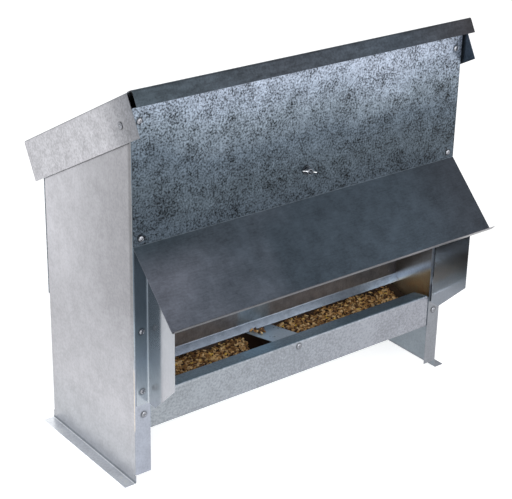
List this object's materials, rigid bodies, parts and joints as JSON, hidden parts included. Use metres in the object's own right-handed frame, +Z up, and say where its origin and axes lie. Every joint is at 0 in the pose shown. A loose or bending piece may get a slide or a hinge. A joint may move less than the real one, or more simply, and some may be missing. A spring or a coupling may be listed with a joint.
{
  "type": "poultry feeder",
  "caption": "Sheet-metal trough feeder on folded feet, with a sloping hinged lid over a hopper, a visor, side wings and a sliding feed regulator held by a wing nut.",
  "frame": {"origin": "on the surface that the feet rest on, below the middle of the bounding box", "axes": "+X along the trough, +Y from the feeding side to the back, +Z up"},
  "size_m": [0.531, 0.3231, 0.5061],
  "materials": {
    "galvanised_sheet": "galvanised sheet steel with a fine crystalline spangle",
    "rivet_metal": "bright blind rivets",
    "zinc_steel": "bright zinc-plated steel",
    "grain": "loose mixed grain and seed, with the density of light wood"
  },
  "bodies": {
    "body": {"side_panel_left": "galvanised_sheet", "side_panel_right": "galvanised_sheet", "front_panel": "galvanised_sheet", "back_panel": "galvanised_sheet", "visor": "galvanised_sheet", "wing_left": "galvanised_sheet", "wing_right": "galvanised_sheet", "trough_pan": "galvanised_sheet", "trough_strap": "galvanised_sheet", "lid_pivot_rivet_left": "rivet_metal", "lid_pivot_rivet_right": "rivet_metal", "front_panel_rivet_left_upper": "rivet_metal", "front_panel_rivet_left_lower": "rivet_metal", "front_panel_rivet_right_upper": "rivet_metal", "front_panel_rivet_right_lower": "rivet_metal", "wing_rivet_left_upper": "rivet_metal", "wing_rivet_left_lower": "rivet_metal", "wing_rivet_right_upper": "rivet_metal", "wing_rivet_right_lower": "rivet_metal", "leg_rivet_left": "rivet_metal", "leg_rivet_right": "rivet_metal", "strap_front_rivet": "rivet_metal", "strap_foot_rivet": "rivet_metal", "back_rivet_left_1": "rivet_metal", "back_rivet_left_2": "rivet_metal", "back_rivet_left_3": "rivet_metal", "back_rivet_right_1": "rivet_metal", "back_rivet_right_2": "rivet_metal", "back_rivet_right_3": "rivet_metal", "regulator_bolt": "zinc_steel", "regulator_washer": "zinc_steel", "feed_grain": "grain"},
    "lid": {"lid": "galvanised_sheet"},
    "regulator": {"feed_regulator": "galvanised_sheet"},
    "wing_nut": {"wing_nut": "zinc_steel"}
  },
  "joints": [
    {"name": "lid_hinge", "type": "hinge", "parent": "body", "child": "lid", "pos_m": [0, -0.06048, 0.459], "axis": [1, 0, 0], "range_deg": [0, 107]},
    {"name": "regulator_slide", "type": "slide", "parent": "body", "child": "regulator", "axis": [0, 0, 1], "range_m": [0, 0.025]},
    {"name": "wing_nut_turn", "type": "hinge", "parent": "body", "child": "wing_nut", "pos_m": [0, -0.07718, 0.3548], "axis": [0, -1, 0], "continuous": true}
  ]
}
